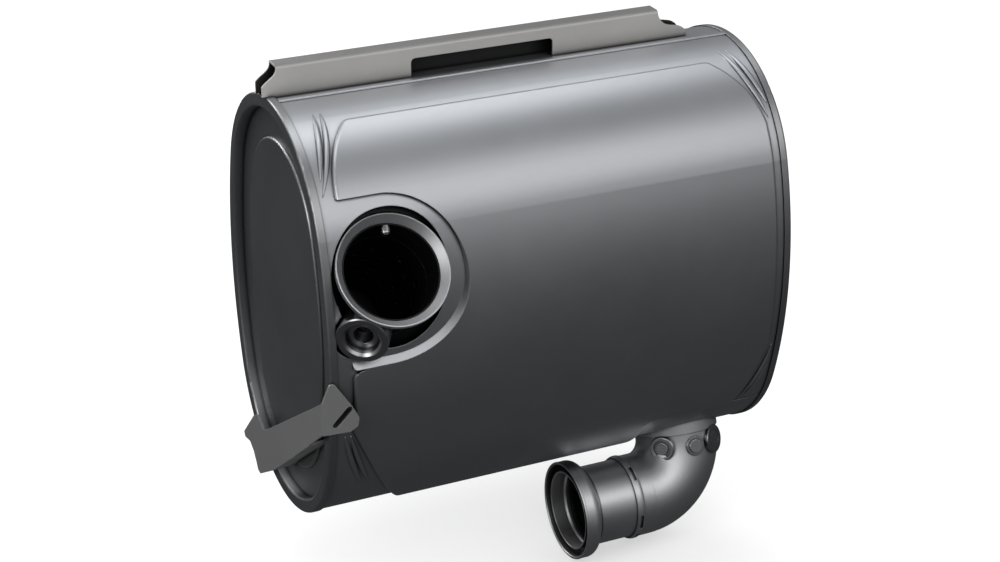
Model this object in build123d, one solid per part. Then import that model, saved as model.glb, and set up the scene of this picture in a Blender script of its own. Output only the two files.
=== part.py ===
from build123d import *
from math import acos, asin, atan2, cos, degrees, hypot, radians, sin
import os

os.makedirs("parts", exist_ok=True)

# Frame: +X runs along the can from the left cap to the right cap, -Y is the inlet side, +Z is up.
# Lengths below are measured from the face of the left rim and from the axis of the oval can.

# Oval can
LENGTH = 675.0                # over both rims
HALF_WIDTH = 196.0            # jacket, outside
HALF_HEIGHT = 292.0           # jacket, outside
SIDE_BULGE = 16.0             # the sides stand this far beyond the top and bottom arcs
JACKET_WALL = 1.2
CAN_WALL = 1.5
MAT_THICKNESS = 10.8

# Jacket seams and the pressed panel
SEAM_Y = -9.0                 # top seam, on the inlet side of the crown
LAP_LEVEL = 86.5              # level of the cut-out over the outlet, above the bottom
LAP_RIGHT = 198.0             # its left side, from the right rim
LAP_CORNER = 12.0
SEAM_GAP = 1.5
LAP_TONGUE = 14.0
LAP_JOGGLE = 5.0
PANEL_RISE = 6.0
PANEL_X0 = 32.0
PANEL_RIGHT = 23.0            # from the right rim
PANEL_BEVEL = 5.0
PANEL_SOFT = 14.0             # small corner radius where a slanted corner meets the panel's end
UPPER_LEAN = 40.0             # the panel's upper end is drawn in a plane that leans this far
UPPER_END = 51.0              # from the middle of that plane to the end of the panel
UPPER_FOOT = 52.0             # and back to where its straight sides begin
UPPER_LEFT = (75.0, 43.0)     # slanted corner, from the left rim, at the end and halfway down
UPPER_RIGHT = (75.0, 39.0)    # from the right rim
LOWER_LEAN = 50.0             # the lower end, in the same way
LOWER_END = 80.0
LOWER_FOOT = 129.0
LOWER_LEFT = (135.0, 84.0)
LOWER_RIGHT = (120.0, 63.0)
NOTCH_RADIUS = 104.0          # round bay in the panel about the inlet, at its foot
NOTCH_LEFT = 4.0              # its centre, left of the inlet and below it
NOTCH_DROP = 16.0
NOTCH_SPREAD = 4.5            # the bay's upper edge is this much larger
NOTCH_SHIFT = 6.5             # and lies this much lower, so its lower wall slopes
NOTCH_CORNER = 14.0

# Pressed stiffening beads beside the rims
BEAD_RISE = 2.0
BEAD_RADIUS = 3.2
UPPER_LEFT_BEADS = [          # (from the rim, below the crown) along the middle of each bead
    [(43.0, 11.0), (33.0, 32.0), (24.0, 57.0)],
    [(51.5, 11.0), (42.0, 30.0), (31.0, 54.0)],
]
UPPER_RIGHT_BEADS = [
    [(45.0, 10.0), (32.0, 32.0), (19.0, 70.0)],
    [(34.0, 10.0), (23.0, 30.0), (15.0, 54.0)],
]
LOWER_LEFT_BEADS = [          # (from the rim, above the bottom)
    [(22.0, 180.0), (34.0, 140.0), (52.0, 94.0)],
    [(30.0, 180.0), (43.0, 140.0), (62.0, 96.0)],
]
LOWER_RIGHT_BEADS = [
    [(16.0, 180.0), (26.0, 140.0), (49.0, 94.0)],
    [(15.0, 160.0), (24.0, 128.0), (41.0, 94.0)],
]

# End caps
CAP_WALL = 2.0
CAP_DEPTH = 16.0              # floor below the rim face
RIM_BAND = 11.0               # width of the folded band over the jacket
RIM_FOLD = 3.0                # outside fold radius of the rim
FLOOR_PAD_INSET = 58.0        # raised pad on the cap floor
FLOOR_PAD_RISE = 4.0

# Inlet
INLET_X = 90.0
INLET_STAND = 2.0             # middle of its face beyond the can's side
INLET_LEVEL = 171.0           # below the crown
INLET_TILT = 40.0             # axis leans up from the inlet side
INLET_BORE = 124.0
TUBE_WALL = 2.0
COLLAR_DIAMETER = 150.0
COLLAR_CONE = 10.0            # depth of the cone
COLLAR_SLEEVE = 16.0
COLLAR_LIP = 7.0
COLLAR_WALL = 1.8
INLET_TUBE_LENGTH = 78.0
OPENING_RIGHT = 1.5           # oval opening in the jacket: its centre, right of the inlet and below it
OPENING_DROP = 20.0
OPENING_HALF_X = 76.0
OPENING_HALF_Z = 90.0

# Mixer inside the can
MIXER_LENGTH = 215.0
MIXER_WALL = 1.5
MIXER_OVERLAP = 22.0
MIXER_HOLE = 13.0
MIXER_ROWS = 6
MIXER_COLUMNS = 10
MIXER_ROW_PITCH = 24.0

# Probe tip in the inlet
PROBE_RADIUS = 6.5
PROBE_REACH = 13.0
PROBE_DEPTH = 17.0
PROBE_ANGLE = 81.0

# Dosing boss
BOSS_LEFT = 51.5              # from the inlet, to its left and below it
BOSS_BELOW = 82.0
BOSS_STAND = 18.0             # middle of its face beyond the can's side
BOSS_SWING = 32.0             # turned toward the left cap
BOSS_DROP = 12.0              # turned down
BOSS_DIAMETER = 68.0
BOSS_BORE = 44.0
BOSS_THROAT = 26.0
BOSS_THROAT_REACH = 72.0
BOSS_STEP_DEPTH = 12.0
BOSS_BEVEL = 3.5
BOSS_CLEARANCE = 2.5
COLLAR_CLEARANCE = 0.5
COLLAR_ROOM = 3.0            # jacket and mat stand off the collar
MAT_SETBACK = 14.0           # mat drawn back from the jacket's opening

# Baffles and catalysts
LEFT_BAFFLE_X = 174.0
RIGHT_BAFFLE = 187.0          # from the right rim
BAFFLE_WALL = 2.0
CATALYST_Z = 106.0            # two bricks, one above the other
CATALYST_CAN_RADIUS = 98.0
CATALYST_CAN_WALL = 1.5
CATALYST_OVERHANG = 12.0
SUPPORT_MAT = 5.0
BRICK_INSET = 16.0

# Hanger rail on the crown
RAIL_Y = 6.0                  # front of the web
RAIL_DEPTH = 28.0
RAIL_HEIGHT = 42.0            # above the crown
RAIL_WALL = 3.0
RAIL_FOLD = 4.5
RAIL_BOTTOM_X0 = -4.0
RAIL_BOTTOM_RIGHT = 63.0      # from the right rim
RAIL_TOP_X0 = 15.0
RAIL_TOP_RIGHT = 108.0
RAIL_SHOULDER_LEFT = 19.0     # height of the wide foot at each end
RAIL_SHOULDER_RIGHT = 20.0
RAIL_SLOT_X0 = 201.0
RAIL_SLOT_X1 = 407.0
RAIL_STRAP = 17.0             # height of the strap above the slot
RAIL_SLOT_CORNER = 6.0

# Lower bracket in front of the left cap
BRACKET_X = -15.0             # outer face of its plate
BRACKET_WALL = 3.0
BRACKET_EAR = 11.0            # outer face of the front ear beyond the can's side
BRACKET_EAR_FOOT = 204.0      # levels above the bottom: where the front ear springs from the plate,
BRACKET_EAR_TOP = 249.0       # where its fold ends,
BRACKET_EAR_TIP = 274.0       # and its tip
BRACKET_SLOT_X = 12.5
BRACKET_SLOT_LEVEL = 225.0
BRACKET_SLOT_LENGTH = 35.0
BRACKET_SLOT_WIDTH = 8.5

# Outlet
OUTLET_RIGHT = 95.0           # from the right rim
OUTLET_LEAN = 20.0            # neck leans toward the inlet side
OUTLET_DROP = 88.5            # jacket to pipe axis, along the neck
BEND_RADIUS = 74.0
ELBOW_DIAMETER = 119.5
NECK_LENGTH = 5.0             # neck beyond the jacket
NECK_OVERLAP = 10.0
NECK_CLEARANCE = 3.0
PIPE_DIAMETER = 114.3
PIPE_START_GAP = 4.0          # from the end of the bend to the pipe
SOCKET_LENGTH = 31.0
SOCKET_BEAD = 1.8             # rise of the soft bead at the socket's end
SOCKET_BEAD_WIDTH = 12.0
CRIMP_DEPTH = 1.2
CRIMP_WIDTH = 4.5
CRIMP_FROM_END = 6.0
CRIMP_SWEEP = 22.0            # degrees round the pipe
CRIMP_START = 16.0            # first crimp, up from the inlet side
CRIMP_PITCH = 36.0
PIPE_REACH = 192.0            # mouth of the pipe, from the neck's axis
FLARE_DIAMETER = 142.0        # bell round the mouth
FLARE_LENGTH = 27.0
FLARE_STRAIGHT = 12.0         # length at the full diameter
FLARE_WALL = 3.0
FLARE_LIP = 3.0
LINER_BACK = 4.0              # the pipe's own end lies this far inside the bell
GROOVE_DEPTH = 0.8
GROOVE_WIDTH = 5.0
PIPE_STEP = 1.5               # ridge inside the pipe, behind the groove

# Sensor ports on the elbow: turn about the neck from the inlet side, drop along the neck below the
# jacket, boss diameter and height, well round the plug and its depth, plug diameter, its foot and top
SENSOR_PORTS = {
    "front": (-47.0, 22.5, 36.0, 5.6, 26.0, 2.2, 18.0, 3.3, 4.9),
    "side": (-1.5, 25.0, 28.0, 2.2, 20.0, 0.5, 20.0, 0.9, 3.8),
    "rear": (34.0, 22.5, 41.0, 3.2, 23.0, 0.5, 23.0, 1.2, 2.9),
}
PORT_HOLE = 11.0

# Worked out from the sizes above
LAP_Z = LAP_LEVEL - HALF_HEIGHT
LAP_X = LENGTH - LAP_RIGHT
PANEL_X1 = LENGTH - PANEL_RIGHT
INLET_Y = -HALF_WIDTH - INLET_STAND
INLET_Z = HALF_HEIGHT - INLET_LEVEL
NOTCH_X = INLET_X - NOTCH_LEFT
NOTCH_Z = INLET_Z - NOTCH_DROP
OPENING_X = INLET_X + OPENING_RIGHT
OPENING_Z = INLET_Z - OPENING_DROP
BOSS_X = INLET_X - BOSS_LEFT
BOSS_Y = -HALF_WIDTH - BOSS_STAND
BOSS_Z = INLET_Z - BOSS_BELOW
RIGHT_BAFFLE_X = LENGTH - RIGHT_BAFFLE
RAIL_TOP_Z = HALF_HEIGHT + RAIL_HEIGHT
RAIL_BOTTOM_X1 = LENGTH - RAIL_BOTTOM_RIGHT
RAIL_TOP_X1 = LENGTH - RAIL_TOP_RIGHT
RAIL_SLOT_TOP_Z = RAIL_TOP_Z - RAIL_STRAP
BRACKET_EAR_Y = -HALF_WIDTH - BRACKET_EAR
OUTLET_X = LENGTH - OUTLET_RIGHT
PIPE_END_X = OUTLET_X - PIPE_REACH
END_RADIUS = HALF_WIDTH - SIDE_BULGE
END_CENTRE = HALF_HEIGHT - END_RADIUS
SIDE_CENTRE = (END_CENTRE**2 - SIDE_BULGE**2) / (2 * SIDE_BULGE)
SIDE_RADIUS = SIDE_CENTRE + HALF_WIDTH
SIDE_SPREAD = degrees(atan2(END_CENTRE, SIDE_CENTRE))
MAT_OUTSIDE = -2 * JACKET_WALL
CAN_OUTSIDE = MAT_OUTSIDE - MAT_THICKNESS
CAN_INSIDE = CAN_OUTSIDE - CAN_WALL
INLET_RADIUS = INLET_BORE / 2
PIPE_RADIUS = PIPE_DIAMETER / 2
ELBOW_RADIUS = ELBOW_DIAMETER / 2
FAR = 2 * LENGTH

# The published frame has its origin on the hanger rail's front, in the strap above its slot.
ORIGIN = ((RAIL_SLOT_X0 + RAIL_SLOT_X1) / 2, RAIL_Y, RAIL_TOP_Z - RAIL_STRAP / 2)


def oval_face(offset=0.0):
    """Oval of four tangent arcs, grown outward by offset, in the plane x = 0."""
    spread = radians(SIDE_SPREAD)
    y = (SIDE_RADIUS + offset) * cos(spread) - SIDE_CENTRE
    z = (SIDE_RADIUS + offset) * sin(spread)
    width = HALF_WIDTH + offset
    height = HALF_HEIGHT + offset
    outline = [
        ThreePointArc((y, -z), (width, 0), (y, z)),
        ThreePointArc((y, z), (0, height), (-y, z)),
        ThreePointArc((-y, z), (-width, 0), (-y, -z)),
        ThreePointArc((-y, -z), (0, -height), (y, -z)),
    ]
    return make_face(outline)


def cross_plane(x):
    """Plane across the can at x, with its own x along Y and its own y along Z."""
    return Plane(origin=(x, 0, 0), x_dir=(0, 1, 0), z_dir=(1, 0, 0))


def oval_prism(offset, x0, x1):
    return extrude(cross_plane(x0) * oval_face(offset), amount=x1 - x0)


def oval_ring(outside, inside, x0, x1):
    return oval_prism(outside, x0, x1) - oval_prism(inside, x0, x1)


def oval_sweep(profile):
    """Carry a profile, drawn as (offset from the oval, x), round the four arcs of the oval."""
    ends = 180.0 - 2 * SIDE_SPREAD
    arcs = [
        (-SIDE_CENTRE, 0, SIDE_RADIUS, -SIDE_SPREAD, 2 * SIDE_SPREAD),
        (0, END_CENTRE, END_RADIUS, SIDE_SPREAD, ends),
        (SIDE_CENTRE, 0, SIDE_RADIUS, 180 - SIDE_SPREAD, 2 * SIDE_SPREAD),
        (0, -END_CENTRE, END_RADIUS, 180 + SIDE_SPREAD, ends),
    ]
    pieces = []
    for y, z, radius, start, turn in arcs:
        out = (0, cos(radians(start)), sin(radians(start)))
        origin = (0, y + radius * out[1], z + radius * out[2])
        normal = Vector(*out).cross(Vector(1, 0, 0))
        face = Plane(origin=origin, x_dir=out, z_dir=normal) * profile
        pieces.append(revolve(face, axis=Axis((0, y, z), (1, 0, 0)), revolution_arc=turn))
    whole = pieces[0]
    for piece in pieces[1:]:
        whole = whole + piece
    return whole


def half_space(origin, normal):
    """Large block on the side of a plane that its normal points to."""
    return extrude(Plane(origin=origin, z_dir=normal) * Rectangle(4 * FAR, 4 * FAR), amount=2 * FAR)


def rod(centre, direction, radius, start, end):
    """Cylinder along a direction, from one distance to another."""
    base = Plane(origin=centre, z_dir=direction)
    return extrude(base.offset(start) * Circle(radius), amount=end - start)


def turned(centre, direction, profile):
    """Solid of revolution: profile drawn as (radius, distance along the direction)."""
    base = Plane(origin=centre, z_dir=direction)
    frame = Plane(origin=centre, x_dir=base.x_dir, z_dir=base.x_dir.cross(base.z_dir))
    return revolve(frame * profile, axis=Axis(centre, direction))


def end_arc_plane(lean, side=-1, top=1):
    """Plane touching the top or bottom arc; lean is the angle from vertical toward side."""
    normal = Vector(0, side * sin(radians(lean)), top * cos(radians(lean)))
    origin = Vector(0, 0, top * END_CENTRE) + normal * END_RADIUS
    return Plane(origin=origin, x_dir=(1, 0, 0), z_dir=normal)


# Places and directions of the inlet, boss and outlet
INLET_OUT = Vector(0, -cos(radians(INLET_TILT)), sin(radians(INLET_TILT)))
INLET_FACE = Vector(INLET_X, INLET_Y, INLET_Z)
BOSS_OUT = Vector(
    -sin(radians(BOSS_SWING)) * cos(radians(BOSS_DROP)),
    -cos(radians(BOSS_SWING)) * cos(radians(BOSS_DROP)),
    -sin(radians(BOSS_DROP)),
)
BOSS_FACE = Vector(BOSS_X, BOSS_Y, BOSS_Z)
NECK_DOWN = Vector(0, -sin(radians(OUTLET_LEAN)), -cos(radians(OUTLET_LEAN)))
NECK_FRONT = Vector(0, -cos(radians(OUTLET_LEAN)), sin(radians(OUTLET_LEAN)))
NECK_ROOT = Vector(OUTLET_X, 0, -END_CENTRE) + NECK_DOWN * END_RADIUS
BEND_START = NECK_ROOT + NECK_DOWN * (OUTLET_DROP - BEND_RADIUS)
PIPE_START = NECK_ROOT + NECK_DOWN * OUTLET_DROP - Vector(BEND_RADIUS, 0, 0)
PIPE_OUT = Vector(-1, 0, 0)


def panel_end_cut(lean, top, reach, foot, left, right, inset):
    """What lies beyond one end of the panel and its two slanted corners, drawn in by inset."""
    end = top * (reach - inset)
    low = -top * foot
    middle = (end + low) / 2
    x0 = PANEL_X0 + inset
    x1 = PANEL_X1 - inset
    left_end, left_middle = (x + inset for x in left)
    right_end, right_middle = (LENGTH - x - inset for x in right)
    kept = make_face([
        ThreePointArc((x0, low), (left_middle, middle), (left_end, end)),
        Line((left_end, end), (right_end, end)),
        ThreePointArc((right_end, end), (right_middle, middle), (x1, low)),
        Line((x1, low), (x0, low)),
    ])
    corners = [v for v in kept.vertices() if abs(v.Y - end) < 0.01]
    kept = fillet(corners, PANEL_SOFT)
    beyond = end + top * 60
    block = Pos(LENGTH / 2, (low + beyond) / 2) * Rectangle(LENGTH, abs(beyond - low))
    return extrude(end_arc_plane(lean, top=top) * (block - kept), amount=60, both=True)


def panel_core(outside, inset, bay_inset, bevel):
    """Pillow of the pressed panel, up to an offset outside, drawn in from its outline by inset."""
    x0 = PANEL_X0 + inset
    x1 = PANEL_X1 - inset
    core = oval_prism(outside, x0, x1) - oval_prism(-30, x0 - 1, x1 + 1)
    core = core & half_space((0, -END_RADIUS * 0.22, 0), (0, -1, 0))
    core = core - panel_end_cut(UPPER_LEAN, 1, UPPER_END, UPPER_FOOT, UPPER_LEFT, UPPER_RIGHT, inset)
    core = core - panel_end_cut(LOWER_LEAN, -1, LOWER_END, LOWER_FOOT, LOWER_LEFT, LOWER_RIGHT, inset)
    core = core - inlet_bay(bay_inset)
    if bevel:
        rim = [e for e in core.edges() if on_panel_top(e, outside) and not by_bay(e)]
        core = fillet(rim, bevel)
    return core - bay_corner(inset, bay_inset)


def inlet_bay(inset):
    """Round bay about the inlet, open toward the left rim, with a sloping lower wall."""
    foot = Vector(*on_inlet_side(NOTCH_X, NOTCH_Z - NOTCH_RADIUS, 0))
    middle = Vector(*on_inlet_side(NOTCH_X, NOTCH_Z, 0))
    up = (middle - foot).normalized()
    plane = Plane(origin=middle, x_dir=(1, 0, 0), z_dir=Vector(1, 0, 0).cross(up))
    sections = []
    lows = []
    for share in (-1, 2):
        radius = NOTCH_RADIUS + inset + NOTCH_SPREAD * share
        shift = -NOTCH_SHIFT * share
        layer = plane.offset(PANEL_RISE * share)
        sections.append(layer * Pos(0, shift) * Circle(radius))
        lows.append(layer.from_local_coords((0, shift - radius, 0)))
    slope = loft(sections)
    wedge = Polyline(
        (lows[0].Y, lows[0].Z), (lows[1].Y, lows[1].Z), (lows[1].Y, NOTCH_Z), (lows[0].Y, NOTCH_Z),
        close=True,
    )
    mouth_slope = extrude(cross_plane(-FAR) * make_face(wedge), amount=FAR + NOTCH_X)
    radius = NOTCH_RADIUS + inset
    upper = rod((NOTCH_X, 0, NOTCH_Z), (0, -1, 0), radius, 0, FAR)
    upper = upper + Pos(NOTCH_X - FAR / 2, -FAR / 2, NOTCH_Z) * Box(FAR, FAR, 2 * radius)
    return slope + mouth_slope + (upper & half_space((0, 0, NOTCH_Z), (0, 0, 1)))


def by_bay(edge):
    """True for an edge of the panel that bounds the inlet bay."""
    spot = edge @ 0.5
    reach = NOTCH_RADIUS + 2 * NOTCH_SHIFT + 2 * NOTCH_SPREAD
    if hypot(spot.X - NOTCH_X, spot.Z - NOTCH_Z) < reach:
        return True
    return spot.X > PANEL_X0 + 1 and spot.X < NOTCH_X and abs(spot.Z - NOTCH_Z) < reach


def bay_corner(inset, bay_inset):
    """What is cut away to round the panel's corner below the bay's mouth."""
    radius = NOTCH_CORNER
    side = PANEL_X0 + inset
    low = NOTCH_Z - NOTCH_RADIUS - NOTCH_SPREAD - NOTCH_SHIFT - bay_inset
    block = Pos(side + radius / 2 - 1, -FAR / 2, low - radius / 2 + 1) * Box(radius + 2, FAR, radius + 2)
    return block - rod((side + radius, 0, low - radius), (0, -1, 0), radius, 0, FAR)


def outside_distance(point):
    """How far a point lies outside the nominal oval, in the plane across the can."""
    y = abs(point.Y)
    z = abs(point.Z)
    if END_CENTRE * (y + SIDE_CENTRE) < z * SIDE_CENTRE:
        return hypot(y, z - END_CENTRE) - END_RADIUS
    return hypot(y + SIDE_CENTRE, z) - SIDE_RADIUS


def on_panel_top(edge, outside):
    """True for an edge of the pillow's outer face that isn't a seam between its arcs."""
    spots = [edge @ t for t in (0.0, 0.25, 0.5, 0.75, 1.0)]
    if any(abs(outside_distance(p) - outside) > 0.01 for p in spots):
        return False
    tangent_z = (SIDE_RADIUS + outside) * sin(radians(SIDE_SPREAD))
    return any(abs(abs(p.Z) - tangent_z) > 0.01 for p in spots)


def on_inlet_side(x, height, offset):
    """Point over the jacket on the inlet side; height is that of its foot on the jacket."""
    if abs(height) > SIDE_RADIUS * sin(radians(SIDE_SPREAD)):
        end = 1 if height > 0 else -1
        lean = acos((abs(height) - END_CENTRE) / END_RADIUS)
        radius = END_RADIUS + offset
        return (x, -radius * sin(lean), end * (END_CENTRE + radius * cos(lean)))
    tilt = asin(height / SIDE_RADIUS)
    radius = SIDE_RADIUS + offset
    return (x, SIDE_CENTRE - radius * cos(tilt), radius * sin(tilt))


def bead(points):
    """Half-round stiffening bead that runs out into the jacket at both ends."""
    last = len(points) - 1
    path = []
    for i, (x, height) in enumerate(points):
        drop = BEAD_RADIUS if i in (0, last) else BEAD_RADIUS - BEAD_RISE
        path.append(on_inlet_side(x, height, -drop))
    line = Spline(*path)
    return sweep(Plane(origin=line @ 0, z_dir=line % 0) * Circle(BEAD_RADIUS), path=line)


def jacket_beads():
    """Pairs of beads in the margins between the rims and the panel."""
    band = oval_ring(2 * BEAD_RISE, -JACKET_WALL / 2, RIM_BAND, LENGTH - RIM_BAND)
    lines = [[(x, HALF_HEIGHT - drop) for x, drop in line] for line in UPPER_LEFT_BEADS]
    lines += [[(LENGTH - x, HALF_HEIGHT - drop) for x, drop in line] for line in UPPER_RIGHT_BEADS]
    lines += [[(x, rise - HALF_HEIGHT) for x, rise in line] for line in LOWER_LEFT_BEADS]
    lines += [[(LENGTH - x, rise - HALF_HEIGHT) for x, rise in line] for line in LOWER_RIGHT_BEADS]
    return [bead(line) & band for line in lines]


def jacket_openings(more=0.0):
    """Room in the jacket, and with more room in the mat, for the inlet and the dosing boss."""
    plane = Plane(origin=(OPENING_X, 0, OPENING_Z), x_dir=(1, 0, 0), z_dir=(0, -1, 0))
    about_inlet = extrude(plane * Ellipse(OPENING_HALF_X + more, OPENING_HALF_Z + more), amount=FAR)
    about_boss = rod(BOSS_FACE, BOSS_OUT, BOSS_DIAMETER / 2 + BOSS_CLEARANCE + more, -60, 60)
    sleeve_end = COLLAR_CONE + COLLAR_SLEEVE + 2 * COLLAR_ROOM
    about_collar = rod(INLET_FACE, INLET_OUT, COLLAR_DIAMETER / 2 + COLLAR_ROOM, -sleeve_end, 60)
    return about_inlet + about_boss + about_collar


def collar_room():
    """Outside of the collar, grown by its clearance."""
    sleeve = INLET_RADIUS + TUBE_WALL + COLLAR_WALL + COLLAR_CLEARANCE
    sleeve_end = COLLAR_CONE + COLLAR_SLEEVE + COLLAR_CLEARANCE
    lip = COLLAR_DIAMETER / 2 + COLLAR_CLEARANCE
    room = rod(INLET_FACE, INLET_OUT, sleeve, -sleeve_end, 60)
    return room + rod(INLET_FACE, INLET_OUT, lip, -COLLAR_CONE - COLLAR_CLEARANCE, 60)


def dosing_throat():
    """Way through from the dosing boss to the inside of the inlet tube."""
    return rod(BOSS_FACE, BOSS_OUT, BOSS_THROAT / 2, -BOSS_THROAT_REACH, 30)


def outlet_corner(gap):
    """Block over the outlet where the front jacket is cut away, set back by a gap."""
    corner = Plane(origin=(LAP_X + gap, 0, LAP_Z - gap), x_dir=(1, 0, 0), z_dir=(0, -1, 0))
    cut = corner * Pos(FAR / 2, -FAR / 2) * RectangleRounded(FAR, FAR, LAP_CORNER)
    return extrude(cut, amount=FAR)


def make_front_jacket():
    x0 = CAP_WALL
    x1 = LENGTH - CAP_WALL
    region = half_space((0, SEAM_Y, 0), (0, -1, 0)) - outlet_corner(0)
    skin = oval_prism(0, x0, x1) + panel_core(PANEL_RISE, 0, 0, PANEL_BEVEL)
    hollow_inset = PANEL_BEVEL + JACKET_WALL
    bay_inset = 2.2 * JACKET_WALL
    pocket = panel_core(PANEL_RISE - JACKET_WALL, hollow_inset, bay_inset, 0)
    hollow = oval_prism(-JACKET_WALL, x0 - 1, x1 + 1) + pocket
    jacket = (skin - hollow) & region
    for one in jacket_beads():
        jacket = jacket + (one & region)
    return jacket - jacket_openings()


def rear_side(gap):
    """Everything behind the seams and over the outlet, set back by a gap."""
    return half_space((0, SEAM_Y + gap, 0), (0, 1, 0)) + outlet_corner(gap)


def make_rear_jacket():
    x0 = CAP_WALL
    x1 = LENGTH - CAP_WALL
    skin = oval_ring(0, -JACKET_WALL, x0, x1) & rear_side(SEAM_GAP)
    under = oval_ring(-JACKET_WALL, -2 * JACKET_WALL, x0, x1)
    lap_band = rear_side(-LAP_TONGUE) - rear_side(SEAM_GAP + LAP_JOGGLE)
    tongues = under & lap_band
    neck_hole = rod(NECK_ROOT, NECK_DOWN, ELBOW_RADIUS + TUBE_WALL + NECK_CLEARANCE, -60, 60)
    return (skin + tongues) - neck_hole


def make_insulation_mat():
    x0 = CAP_WALL
    x1 = LENGTH - CAP_WALL
    mat = oval_ring(MAT_OUTSIDE, CAN_OUTSIDE, x0, x1)
    neck_hole = rod(NECK_ROOT, NECK_DOWN, ELBOW_RADIUS + TUBE_WALL + NECK_CLEARANCE, -60, 60)
    return outer_piece(mat - jacket_openings(MAT_SETBACK) - neck_hole, Vector(1, 0, 0))


def make_inner_can():
    x0 = CAP_WALL
    x1 = LENGTH - CAP_WALL
    can = oval_ring(CAN_OUTSIDE, CAN_INSIDE, x0, x1)
    can = can - rod(INLET_FACE, INLET_OUT, INLET_RADIUS + TUBE_WALL, -120, 60)
    can = can - rod(NECK_ROOT, NECK_DOWN, ELBOW_RADIUS + TUBE_WALL, -80, 60)
    return can - collar_room() - dosing_throat()


def rim_profile(face, inward):
    """Section of a cap's wall, folded rim and band; inward is +1 at the left cap, -1 at the right."""
    inner = CAN_INSIDE - CAP_WALL
    outer = CAP_WALL
    width = outer - inner
    block = Pos((inner + outer) / 2, face + inward * CAP_DEPTH / 2) * Rectangle(width, CAP_DEPTH)
    rim_edges = [v for v in block.vertices() if abs(v.Y - face) < 0.01]
    block = fillet(rim_edges, RIM_FOLD)
    slot_width = -CAN_INSIDE
    slot_middle = face + inward * (CAP_WALL + CAP_DEPTH / 2)
    slot = Pos(CAN_INSIDE / 2, slot_middle) * Rectangle(slot_width, CAP_DEPTH)
    spare = Pos(CAP_WALL / 2, face + inward * (RIM_BAND + CAP_DEPTH / 2)) * Rectangle(CAP_WALL, CAP_DEPTH)
    return block - slot - spare


def make_end_cap(face, inward):
    rim = oval_sweep(rim_profile(face, inward))
    floor_x = face + inward * CAP_DEPTH
    start = min(floor_x, floor_x - inward * CAP_WALL)
    floor = oval_prism(CAN_INSIDE, start, start + CAP_WALL)
    pad_face = floor_x - inward * (CAP_WALL + FLOOR_PAD_RISE)
    bottom = min(pad_face + inward * CAP_WALL, floor_x + inward)
    top = max(pad_face + inward * CAP_WALL, floor_x + inward)
    pad_hollow = oval_prism(-FLOOR_PAD_INSET - CAP_WALL, bottom, top)
    return rim + floor + floor_pad(floor_x, pad_face) - pad_hollow


def floor_pad(floor_x, pad_face):
    """Raised pad in the middle of a cap's floor, with a rounded step round it."""
    pad = oval_prism(-FLOOR_PAD_INSET, min(pad_face, floor_x), max(pad_face, floor_x))
    front_edges = [e for e in pad.edges() if abs((e @ 0.5).X - pad_face) < 0.01]
    return fillet(front_edges, FLOOR_PAD_RISE - 0.5)


def make_inlet_tube():
    depth = COLLAR_CONE
    tube = rod(INLET_FACE, INLET_OUT, INLET_RADIUS + TUBE_WALL, -INLET_TUBE_LENGTH, -depth)
    tube = tube - rod(INLET_FACE, INLET_OUT, INLET_RADIUS, -INLET_TUBE_LENGTH - 1, 0)
    return tube - probe_hole() - dosing_throat()


def make_inlet_collar():
    """Cone-mouthed collar: sleeve over the tube, cone, and a rim turned back."""
    fit = INLET_RADIUS + TUBE_WALL
    wall = COLLAR_WALL
    lip = COLLAR_DIAMETER / 2
    outline = Polyline(
        (fit, -COLLAR_CONE),
        (lip - wall, 0),
        (lip, 0),
        (lip, -COLLAR_LIP),
        (lip - wall, -COLLAR_LIP),
        (lip - wall, -wall * 1.6),
        (fit + wall, -COLLAR_CONE - wall * 0.7),
        (fit + wall, -COLLAR_CONE - COLLAR_SLEEVE),
        (fit, -COLLAR_CONE - COLLAR_SLEEVE),
        close=True,
    )
    collar = turned(INLET_FACE, INLET_OUT, make_face(outline))
    lip_edges = [e for e in collar.edges() if on_circle(e, INLET_FACE, INLET_OUT, lip, 0)]
    return fillet(lip_edges, wall * 0.45) - probe_hole()


def on_circle(edge, centre, direction, radius, distance):
    """True for a circular edge of a radius at a distance along an axis."""
    for t in (0.1, 0.5, 0.9):
        arm = (edge @ t) - centre
        along = arm.dot(direction)
        across = (arm - direction * along).length
        if abs(along - distance) > 0.02 or abs(across - radius) > 0.02:
            return False
    return True


def probe_direction():
    """From the inlet axis to the probe, across the tube."""
    up = Vector(1, 0, 0).cross(INLET_OUT) * -1
    turn = radians(PROBE_ANGLE)
    return Vector(1, 0, 0) * cos(turn) + up * sin(turn)


def probe_hole():
    centre = INLET_FACE - INLET_OUT * PROBE_DEPTH
    return rod(centre, probe_direction(), PROBE_RADIUS, INLET_RADIUS / 2, INLET_RADIUS + 20)


def make_inlet_probe():
    """Round-nosed tip that reaches into the inlet through the tube's wall."""
    centre = INLET_FACE - INLET_OUT * PROBE_DEPTH
    out = probe_direction()
    start = INLET_RADIUS - PROBE_REACH
    end = INLET_RADIUS + TUBE_WALL + COLLAR_WALL - COLLAR_CLEARANCE
    body = rod(centre, out, PROBE_RADIUS, start, end)
    nose = [e for e in body.edges() if on_circle(e, centre, out, PROBE_RADIUS, start)]
    return fillet(nose, PROBE_RADIUS * 0.8)


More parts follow.
